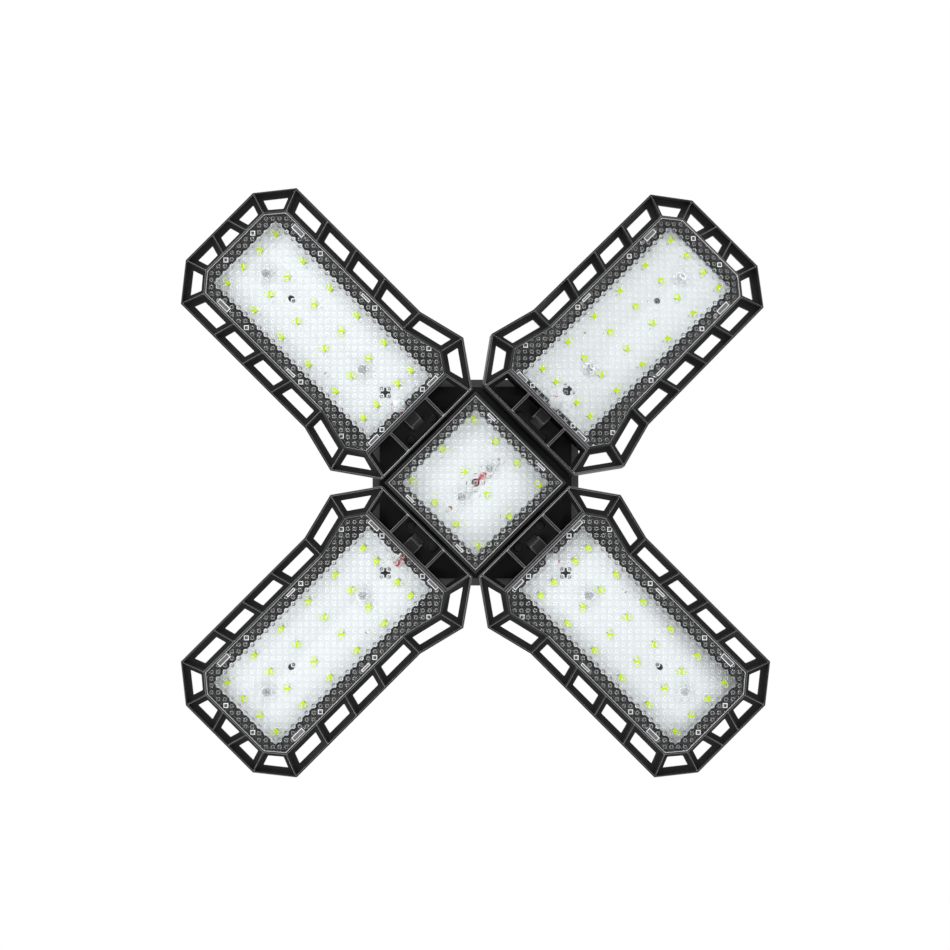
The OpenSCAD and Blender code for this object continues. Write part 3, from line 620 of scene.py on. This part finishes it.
def knobbed_lens(node, i, centre, reach, flats):
    """The CAD lens, in its own frame, cut to a front of knobs on a grid round `centre`. In
    the flats, which are (x0, y0, x1, y1) in millimetres, the knobs are pressed down."""
    spots = []
    half = pitch / math.sqrt(2)
    for a in range(-reach, reach + 1):
        for b in range(-reach, reach + 1):
            x, y = centre[0] + (a + b) * half, centre[1] + (a - b) * half
            if i:
                on_cover = (wing_knobs_from < x < wing_knobs_to
                            and abs(y) < wing_knobs_beside)
            else:
                on_cover = max(abs(x), abs(y)) <= hub_knobs_to
            if on_cover:
                spots.append((x, y, 0.0, math.pi / 4))
    if i:
        one = knob_mesh(wing_profile, wing_squareness)
    else:
        one = knob_mesh(hub_profile, hub_squareness)
    field = repeated(one, spots, clear)
    work = bmesh.new()
    work.from_mesh(field)
    bmesh.ops.remove_doubles(work, verts=work.verts, dist=grid_weld)
    rim = [edge for edge in work.edges if edge.is_boundary]
    pulled = bmesh.ops.extrude_edge_only(work, edges=rim)["geom"]
    for vert in pulled:
        if isinstance(vert, bmesh.types.BMVert):
            vert.co.z = cover_back
    open_edges = [edge for edge in work.edges if edge.is_boundary]
    bmesh.ops.contextual_create(work, geom=open_edges)
    bmesh.ops.recalc_face_normals(work, faces=work.faces)
    work.to_mesh(field)
    work.free()
    block = new_object("knob_field", field)
    made = new_object(node + "_look", merged_copy(node, node + "_look"), clear)
    made.data.transform(front_frame(i).inverted())
    cut_by(made, block, "INTERSECT")
    work = bmesh.new()
    work.from_mesh(made.data)
    for vert in work.verts:
        for x0, y0, x1, y1 in flats:
            if x0 * mm < vert.co.x < x1 * mm and y0 * mm < vert.co.y < y1 * mm:
                vert.co.z = max(vert.co.z, cover_front * mm)
    for face in work.faces:
        face.smooth = True
        face.material_index = int(flank_slopes[0] < -face.normal.z < flank_slopes[1])
    for edge in work.edges:
        edge.smooth = edge.is_manifold and edge.calc_face_angle(0) < crease
    work.to_mesh(made.data)
    work.free()
    made.data.materials.append(flank)
    return made


# --- Marks on the lenses -------------------------------------------------------------------
# Frosted pads stand on the covers where the clips are moulded, and small square rings where
# pins pushed the cover out of its mould. The pads' middles are brushed.
pads = [(148.3, 25.1, 155.6, 27.7), (101.6, 25.8, 107, 27.3), (50, 17.6, 52.2, 24)]
pads += [(x0, -y1, x1, -y0) for x0, y0, x1, y1 in pads]
hub_pads = [(28.2, 15, 29.6, 20), (28.2, -20, 29.6, -15)]
hub_pads += [(-x1, y0, -x0, y1) for x0, y0, x1, y1 in hub_pads]
rings_at = [(97.5, 26.2), (136, 26.2), (51.9, 14.3), (167.2, 9.5), (64, 31)]
rings_at += [(x, -y) for x, y in rings_at]
outline_z, brushed_z = (1.08 * mm, 1.3 * mm), (1.18 * mm, 1.3 * mm)
pad_line, pad_inset = 0.45, 0.5
ring_half, ring_line, ring_flat = 1.2, 0.42, 1.8
frost = grained("lens_frost", (0.85, 0.87, 0.88), 0.55, scale=4000, tone=0.5)
brushed = grained("lens_brushed", (0.16, 0.165, 0.17), 0.6, scale=6000, tone=1.2)
diagonal = Matrix.Rotation(math.radians(45), 4, "Z")


def outlined(x0, y0, x1, y1, line):
    """Four thin bars round a rectangle on the cover's front."""
    bars = (
        box(x0, y0, x1, y0 + line), box(x0, y1 - line, x1, y1),
        box(x0, y0 + line, x0 + line, y1 - line),
        box(x1 - line, y0 + line, x1, y1 - line),
    )
    meshes = [prism(bar, *outline_z) for bar in bars]
    for mesh in meshes:
        mesh.materials.append(frost)
    return meshes


def lens_marks(name, body, front, pads, rings):
    """The pads and rings of one cover."""
    meshes = []
    for x0, y0, x1, y1 in pads:
        meshes += outlined(x0, y0, x1, y1, pad_line)
        within = box(x0 + pad_inset, y0 + pad_inset, x1 - pad_inset, y1 - pad_inset)
        inside = prism(within, *brushed_z)
        inside.materials.append(brushed)
        meshes.append(inside)
    for x, y in rings:
        ring = outlined(-ring_half, -ring_half, ring_half, ring_half, ring_line)
        for mesh in ring:
            mesh.transform(Matrix.Translation((x * mm, y * mm, 0)) @ diagonal)
        meshes += ring
    marks = joined(name, meshes, front)
    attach(marks, body)


ring_flats = [
    (x - ring_flat, y - ring_flat, x + ring_flat, y + ring_flat) for x, y in rings_at
]
wing_lens = knobbed_lens("wing2_lens", 2, *wing_grid, pads + ring_flats)
for i in wings:
    lens = new_object(f"wing{i}_lens_look", wing_lens.data.copy())
    lens.data.transform(front_frame(i))
    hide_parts(f"wing{i}_lens")
    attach(lens, f"wing{i}")
    lens_marks(f"wing{i}_lens_marks", f"wing{i}", front_frame(i), pads, rings_at)
bpy.data.objects.remove(wing_lens)
lens = knobbed_lens("hub_lens", 0, *hub_grid, hub_pads)
lens.data.transform(front_frame(0))
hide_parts("hub_lens")
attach(lens, "lamp")
lens_marks("hub_lens_marks", "lamp", front_frame(0), hub_pads, [])

# --- Screws and hinge pins -----------------------------------------------------------------
# Zinc-plated pan-head screws with cross recesses hold the boards and the heat sinks. Steel
# pins through the hub's ears carry the wings, and are drawn a little thinner than the bores.
board_screws_at, hub_screws_at = [(80.24, 0), (148.6, 0)], [(10.2, 0), (-10.2, 0)]
sink_screws_at = [(66, 28.6), (66, -28.6), (159.2, 25.2), (159.2, -25.2)]
board_cross = {"z0": 3.9, "z1": 5.4, "reach": 1.45 * mm, "half": 0.32 * mm}
sink_cross = {"z0": 11.7, "z1": 12.8, "reach": 1.1 * mm, "half": 0.28 * mm}
first_turn, next_turn = 15, 25
pin_slimmed = 0.96
zinc = grained("screw_zinc", (0.78, 0.79, 0.81), 0.36, scale=3000, metallic=1.0, wear=0.2)


def recesses(front, spots, z0, z1, reach, half):
    """Cross-shaped cutters at (x, y) spots in millimetres, each turned a little further."""
    quarter = [(reach, half), (half, half), (half, reach)]
    meshes = []
    for k, (x, y) in enumerate(spots):
        outline = []
        for q in range(4):
            for px, py in quarter:
                a = math.radians(90 * q + next_turn * k + first_turn)
                outline.append((x * mm + px * math.cos(a) - py * math.sin(a),
                                y * mm + px * math.sin(a) + py * math.cos(a)))
        meshes.append(prism(outline, z0 * mm, z1 * mm))
    return joined("recesses", meshes, front)


for i in wings:
    front = front_frame(i)
    softened(f"wing{i}_board_screws", f"wing{i}", "screw_zinc", 0.4 * mm, zinc, segments=3,
             cutter=recesses(front, board_screws_at, **board_cross))
    softened(f"wing{i}_sink_screws", f"wing{i}", "screw_zinc", 0.3 * mm, zinc, segments=3,
             cutter=recesses(front, sink_screws_at, **sink_cross))
    pin = softened(f"wing{i}_hinge_pin", f"wing{i}", "screw_zinc", 0.3 * mm, zinc)
    at_axis = front @ Matrix.Translation(hinge)
    slimmer = Matrix.Diagonal((pin_slimmed, 1, pin_slimmed, 1))
    pin.data.transform(at_axis @ slimmer @ at_axis.inverted())
softened("hub_board_screws", "lamp", "screw_zinc", 0.4 * mm, zinc, segments=3,
         cutter=recesses(front_frame(0), hub_screws_at, **board_cross))
softened("case_screws", "lamp", "screw_zinc", 0.4 * mm, zinc, segments=3)
softened("driver_board_screws", "lamp", "screw_zinc", 0.3 * mm, zinc)

# --- Leads ---------------------------------------------------------------------------------
# Stranded leads in red and white insulation feed each board from the driver. The mains pair
# in the neck is red and black. They are fixed inside the lamp and end on the boards.
middle_lead = 2.5 * mm
red = grained("lead_red", (0.45, 0.02, 0.03), 0.4, scale=2500)
white_lead = grained("lead_white", (0.72, 0.72, 0.70), 0.4, scale=2500)
black_lead = grained("lead_black", (0.02, 0.02, 0.022), 0.4, scale=2500)


def pair_of_leads(node, body, other, is_other):
    """Leads in red, and in another colour where is_other(point) says so."""
    made = softened(node, body, "lead_insulation", 0.1 * mm, red)
    made.data.materials.append(other)
    for face in made.data.polygons:
        face.material_index = int(is_other(face.center))


def beside_wing(at):
    """Whether a point is on the white side of the wing it is nearest to."""
    if abs(at.x) > abs(at.y):
        return at.y * at.x > 0
    return at.x * at.y < 0


for i in wings:
    back = front_frame(i).inverted()
    pair_of_leads(f"wing{i}_leads", f"wing{i}", white_lead, lambda at: (back @ at).y > 0)
pair_of_leads("hub_leads", "lamp", white_lead, lambda at: at.x < 0)
pair_of_leads("output_leads", "lamp", white_lead, beside_wing)
pair_of_leads("mains_leads", "lamp", black_lead, lambda at: at.xy.length < middle_lead)

# --- Solder, silicone and bare copper ------------------------------------------------------
# Each lead ends in a dome of solder, with a dab of silicone over the pair where it enters
# the wing. Bare copper shows on the boards as a strip, two crosses and spots. A dab or a
# dome has a place, a length, a width and a height, all in millimetres.
board_front = 6.2 * mm
film_rise = 0.04 * mm
large_dab, small_dab = (54.4, 0.1, 4.2, 3.3, 2.2), (54, 0.1, 1.0, 2.1, 0.9)
solder_size = (1.1, 0.95, 0.7)
wing_solder_at, hub_solder_at = ((57, -1.2), (57, 1.2)), ((6, 0), (-6, 0))
crosses_at, cross_long, cross_wide = (11.8, 16.5), 0.9, 0.17
wing_spot, hub_spot, hub_strip = (92, -14.5, 0.65), (-18, 0, 1.1), (5, 1.7, 18, 2.0)
disc_sides = 24
solder = grained("solder", (0.6, 0.6, 0.6), 0.3, metallic=1.0, scale=4000)
silicone = grained("silicone", (0.68, 0.70, 0.71), 0.3, scale=1400, tone=0.8, depth=0.0003)
bare = grained("bare_copper", (0.33, 0.17, 0.07), 0.4, scale=4000)


def dome(x, y, rx, ry, height, material):
    """A flattened dome on a board's front, sizes in millimetres."""
    work = bmesh.new()
    bmesh.ops.create_icosphere(work, subdivisions=3, radius=1)
    for vert in work.verts:
        vert.co = Vector((
            (x + rx * vert.co.x) * mm, (y + ry * vert.co.y) * mm,
            board_front + min(0.0, height * vert.co.z * mm),
        ))
    for face in work.faces:
        face.smooth = True
    mesh = bpy.data.meshes.new("dome")
    work.to_mesh(mesh)
    work.free()
    mesh.materials.append(material)
    return mesh


def flat(outline):
    """A film of bare copper on a board's front."""
    mesh = prism(outline, board_front - film_rise, board_front)
    mesh.materials.append(bare)
    return mesh


def disc(x, y, r):
    """The outline of a disc in millimetres, as points in metres."""
    return [((x + r * math.cos(a)) * mm, (y + r * math.sin(a)) * mm)
            for a in [2 * math.pi * k / disc_sides for k in range(disc_sides)]]


for i in wings:
    dab = small_dab if i == 3 else large_dab
    fixed = joined(f"wing{i}_solder", [
        *[dome(x, y, *solder_size, solder) for x, y in wing_solder_at],
        dome(*dab, silicone), flat(disc(*wing_spot)),
    ], front_frame(i))
    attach(fixed, f"wing{i}")
copper_marks = [flat(box(*hub_strip)), flat(disc(*hub_spot))]
for x in crosses_at:
    copper_marks += [
        flat(box(x - cross_long, -cross_wide, x + cross_long, cross_wide)),
        flat(box(x - cross_wide, -cross_long, x + cross_wide, cross_long)),
    ]
fixed = joined("hub_solder", [
    *[dome(x, y, *solder_size, solder) for x, y in hub_solder_at], *copper_marks,
], front_frame(0))
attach(fixed, "lamp")

# --- Driver --------------------------------------------------------------------------------
# The driver is a green board on posts inside the case. It carries sleeved capacitors with
# aluminium tops, a film capacitor and a transformer with yellow tape round its winding.
core_end, can_top_slope = 2.9 * mm, 0.7
green = grained("board_green", (0.05, 0.22, 0.09), 0.35, scale=900)
sleeve = grained("capacitor_sleeve", (0.03, 0.05, 0.1), 0.3)
ferrite = grained("ferrite", (0.06, 0.06, 0.065), 0.6)
yellow = grained("film_capacitor", (0.6, 0.42, 0.03), 0.3)
aluminium = grained("capacitor_top", (0.7, 0.7, 0.71), 0.3, metallic=1.0)
tape = grained("winding_tape", (0.55, 0.33, 0.05), 0.35)
softened("driver_board", "lamp", "board_green", 0.15 * mm, green)
softened("driver_film_capacitor", "lamp", "film_capacitor", 0.8 * mm, yellow, segments=3)
cans = softened("driver_capacitors", "lamp", "capacitor_sleeve", 0.6 * mm, sleeve,
                segments=3)
cans.data.materials.append(aluminium)
for face in cans.data.polygons:
    face.material_index = int(face.normal.z > can_top_slope)
core = softened("driver_transformer", "lamp", "ferrite", 0.3 * mm, ferrite)
core.data.materials.append(tape)
winding = sorted({round(v.co.z, 5) for v in core.data.vertices})
low_end, high_end = winding[0] + core_end, winding[-1] - core_end
for face in core.data.polygons:
    face.material_index = int(face.center.z < low_end or face.center.z > high_end)

# --- Choke ---------------------------------------------------------------------------------
# A ferrite ring that stands on the driver board, wound all round with heavy copper wire.
# The ring is slimmed within its CAD size to leave room for the wire.
ring_slimmed = (0.93, 0.93, 0.9, 1)
wire_turns, winding_radius = 19, 4.4 * mm
turn_corner, turn_edge = (2.05 * mm, 0.33 * mm, 2.5 * mm), 0.3 * mm
copper = grained("copper_winding", (0.45, 0.18, 0.07), 0.3, metallic=1.0)
ring = merged_copy("driver_choke", "choke_ring")
corners = [v.co for v in ring.vertices]
centre = (Vector([min(c[k] for c in corners) for k in range(3)])
          + Vector([max(c[k] for c in corners) for k in range(3)])) / 2
stand = Matrix.Translation(centre) @ Matrix.Rotation(math.radians(90), 4, "X")
ring.transform(stand.inverted())
ring.transform(Matrix.Diagonal(ring_slimmed))
ring.materials.append(ferrite)
one_turn = box_mesh(*[-c for c in turn_corner], *turn_corner, turn_edge, 3)
turns = [(winding_radius * math.cos(a), winding_radius * math.sin(a), 0.0, a)
         for a in [2 * math.pi * k / wire_turns for k in range(wire_turns)]]
choke = joined("driver_choke_look", [ring, repeated(one_turn, turns, copper)], stand)
choke.data.shade_smooth()
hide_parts("driver_choke")
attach(choke, "lamp")

# --- Screw cap -----------------------------------------------------------------------------
# A nickel-plated shell, pressed into a round-crested screw thread. A black glass insulator
# closes its end, with a solder contact in the middle. Its profile is in millimetres.
cap_sides, thread_steps, cap_crease = 72, 84, math.radians(35)
shell_radius, thread_depth, thread_pitch = 13.1, 0.42, 3.629
thread_start, thread_length, thread_fade, fade_end = 0.3, 17.9, 1.5, 18.2
skirt = [(12.0, -0.02), (13.1, -0.02)]
end_and_inside = [
    (13.1, 18.5), (10.1, 20.6), (7.9, 20.6), (7.9, 20.2), (9.9, 20.2), (12.0, 18.4)
]
nickel = grained("cap_nickel", (0.66, 0.65, 0.62), 0.25, metallic=1.0)
glass_black = grained("cap_black_glass", (0.012, 0.012, 0.014), 0.15)
threaded = [(shell_radius, thread_start + thread_length * k / thread_steps)
            for k in range(1, thread_steps)]
section = [(r, z, False) for r, z in skirt] + [(r, z, True) for r, z in threaded]
section += [(r, z, False) for r, z in end_and_inside]
work = bmesh.new()
columns = []
for k in range(cap_sides):
    a = 2 * math.pi * k / cap_sides
    column = []
    for r, z, on_thread in section:
        if on_thread:
            fade = min(1.0, (z - thread_start) / thread_fade, (fade_end - z) / thread_fade)
            r -= thread_depth * fade * (1 - math.cos(2 * math.pi * z / thread_pitch - a))
        at = (r * mm * math.cos(a), r * mm * math.sin(a), max(z, 0) * mm)
        column.append(work.verts.new(at))
    columns.append(column)
for k in range(cap_sides):
    one, two = columns[k], columns[(k + 1) % cap_sides]
    for n in range(len(section)):
        m = (n + 1) % len(section)
        work.faces.new((one[n], two[n], two[m], one[m]))
bmesh.ops.recalc_face_normals(work, faces=work.faces)
for face in work.faces:
    face.smooth = True
for edge in work.edges:
    edge.smooth = edge.calc_face_angle(0) < cap_crease
mesh = bpy.data.meshes.new("screw_shell_look")
work.to_mesh(mesh)
work.free()
shell = new_object("screw_shell_look", mesh, nickel)
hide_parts("screw_shell")
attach(shell, "lamp")
softened("cap_insulator", "lamp", "cap_black_glass", 0.2 * mm, glass_black)
softened("centre_contact", "lamp", "cap_nickel", 0.2 * mm, nickel)
